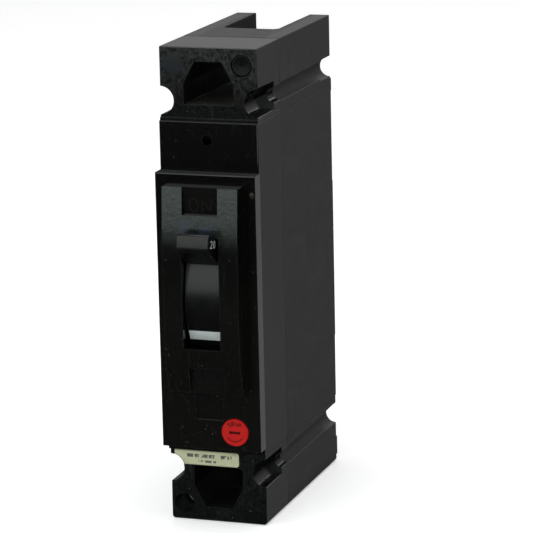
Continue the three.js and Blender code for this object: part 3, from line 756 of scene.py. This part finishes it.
# ------------------------------------------------------------------ the handle
def handle_moulding():
    """The handle with rounded corners, and the numerals on its right cheek."""
    bm = clean_copy("handle")
    pivot_depth, pivot_z = HANDLE_PIVOT

    def tip(a, b):
        return a[1] > 93.0 and b[1] > 93.0
    soften(bm, tip, 0.9)
    for face in bm.faces:
        _, depth, z = in_mm(face.calc_center_median())
        on_barrel = abs(math.hypot(depth - pivot_depth, z - pivot_z) - BARREL_RADIUS) < 0.4
        if on_barrel and abs(face.normal.x) < 0.5:
            face.smooth = True
    obj = bevelled("handle_moulding", bm, 0.2, lambda a, b: abs(a[0] - b[0]) > 3)
    crisp(obj)
    dress(obj, "handle_phenolic", "handle", replaces="handle")

    cheek, start_depth, start_z = 5.6, 95.4, 98.9
    lean, stretch = math.radians(11), 1.35

    def place(u, v, h):
        return at(cheek + h, start_depth - u * stretch * math.cos(lean) - v * math.sin(lean),
                  start_z + v * math.cos(lean) - u * stretch * math.sin(lean))
    bm = bmesh.new()
    write(bm, "20", 2.3, 0.13, place, 0.04, gap=0.36)
    numerals = make_object("handle_numerals", bm)
    dress(numerals, "indicator_white", "handle")


def indicator_band():
    """The white band moulded across the barrel, with fine ribs along its length."""
    pivot_depth, pivot_z = HANDLE_PIVOT
    start, end, count = -25.2, -19.0, 25           # degrees about the pivot, and points along the arc
    rib, groove, rolled_end = 0.16, 0.1, 0.08      # how proud of the barrel, and how far the ends drop
    inner = BARREL_RADIUS - 0.05
    bm = bmesh.new()
    rows = []
    for i in range(count):
        a = math.radians(start + (end - start) * i / (count - 1))
        proud = (rib if i % 6 in (0, 1) else groove) - (0 if 0 < i < count - 1 else rolled_end)
        outer = BARREL_RADIUS + proud
        rows.append([bm.verts.new(at(x, pivot_depth + r * math.cos(a), pivot_z + r * math.sin(a)))
                     for x in (-5.7, 5.7) for r in (inner, outer)])
    for a, b in zip(rows, rows[1:]):
        for i, j in ((0, 1), (1, 3), (3, 2), (2, 0)):
            bm.faces.new((a[i], a[j], b[j], b[i]))
    for row in (rows[0], rows[-1]):
        bm.faces.new((row[0], row[1], row[3], row[2]))
    obj = make_object("indicator_band", bm)
    dress(obj, "indicator_white", "handle", replaces="handle_indicator_strip")


# ------------------------------------------------------------------ the trip button
def trip_button():
    """The red cap with its rounded rim, the marks on its face, and a dark strip of painted shade in its
    slot.
    """
    bm = clean_copy("trip_button")
    centre_x, centre_z = BUTTON_CENTRE

    def face_rim(a, b):
        far = [math.hypot(p[0] - centre_x, p[2] - centre_z) for p in (a, b)]
        return min(far) > 4.5 and a[1] > 84.2 and b[1] > 84.2
    soften(bm, face_rim, 0.5)
    obj = make_object("trip_button_cap", bm)
    shade(obj, 30)
    dress(obj, "button_red", "trip_button", replaces="trip_button")

    bm = bmesh.new()
    for sign, angle in (("T", 38), ("R", 13), ("I", -10), ("P", -32)):
        turn = math.radians(angle)
        half_width = SIGNS[sign][0] * 0.7

        def place(u, v, h, turn=turn, half_width=half_width):
            across, up = u - half_width, v + 2.35
            return at(centre_x + across * math.cos(turn) - up * math.sin(turn), BUTTON_FACE + h,
                      centre_z + across * math.sin(turn) + up * math.cos(turn))
        write(bm, sign, 1.4, 0.17, place, 0.06)
    arc = oval(centre_x, centre_z, 3.1, 3.1, 20, 215, 325)
    ribbon(bm, arc, 0.15, lambda u, v, h: at(u, BUTTON_FACE + h, v), -0.05, 0.06)
    # painted shade: a dark red strip on the floor of the slot
    slot_shade = [(6.7, centre_z), (10.3, centre_z)]
    ribbon(bm, slot_shade, 0.42, lambda u, v, h: at(u, BUTTON_FACE - 0.6 + h, v), -0.02, 0.03)
    marks = make_object("trip_button_print_and_slot_shade", bm)
    dress(marks, "red_print_and_slot_shade", "trip_button")


# ------------------------------------------------------------------ small fittings
def seal_plugs():
    """The compound in the two upper screw wells: sunken on the right, flush on the left."""
    face = SHOULDER_FACE
    dished = [(0, face - 0.95), (0.25, face - 0.9), (0.5, face - 0.55), (1.4, face - 0.42),
              (2.6, face - 0.25), (3.1, face - 0.12), (3.3, face - 0.2), (3.35, face - 0.5),
              (3.35, face - 2.4), (0, face - 2.4)]
    flush = [(0, face), (1.6, face - 0.01), (3.0, face - 0.02), (3.5, face - 0.06), (3.58, face - 0.2),
             (3.58, face - 2.4), (0, face - 2.4)]
    plugs = (("right", dished, (11.6, 156.2), "sealing_compound"),
             ("left", flush, (-12.5, 155.9), "dusty_seal"))
    for name, profile, centre, material in plugs:
        bm = bmesh.new()
        turned_profile(bm, profile, centre)
        obj = make_object(f"seal_plug_{name}", bm)
        shade(obj)
        dress(obj, material, "enclosure", replaces=f"seal_plug_upper_{name}")


def label_sheet():
    """The paper label, a little proud at its lifted upper edge."""
    bm = clean_copy("rating_label")
    bmesh.ops.triangulate(bm, faces=bm.faces)
    bmesh.ops.subdivide_edges(bm, edges=bm.edges, cuts=3, use_grid_fill=True)
    for vert in bm.verts:
        x, depth, z = in_mm(vert.co)
        lift = max(0.0, z - 23.2) * 0.05 * (1 + math.sin(x * 1.1))
        vert.co.y -= lift * MM
    obj = make_object("label_sheet", bm)
    shade(obj)
    dress(obj, "label_cream", "enclosure", replaces="rating_label")


def escutcheon_rivet():
    """The small domed pin in the escutcheon's upper right corner."""
    face = ESCUTCHEON_FACE
    bm = bmesh.new()
    dome = [(0, face + 0.16), (0.3, face + 0.15), (0.6, face + 0.1), (0.8, face + 0.02),
            (0.88, face - 0.1), (0.88, face - 1.5), (0, face - 1.5)]
    turned_profile(bm, dome, (16.1, 114.6), 28)
    obj = make_object("escutcheon_rivet", bm)
    shade(obj)
    dress(obj, "aged_brass", "enclosure", replaces="escutcheon_pin")


cover_moulding()
panel_signs()
base_moulding()
handle_moulding()
indicator_band()
trip_button()
seal_plugs()
label_sheet()
escutcheon_rivet()
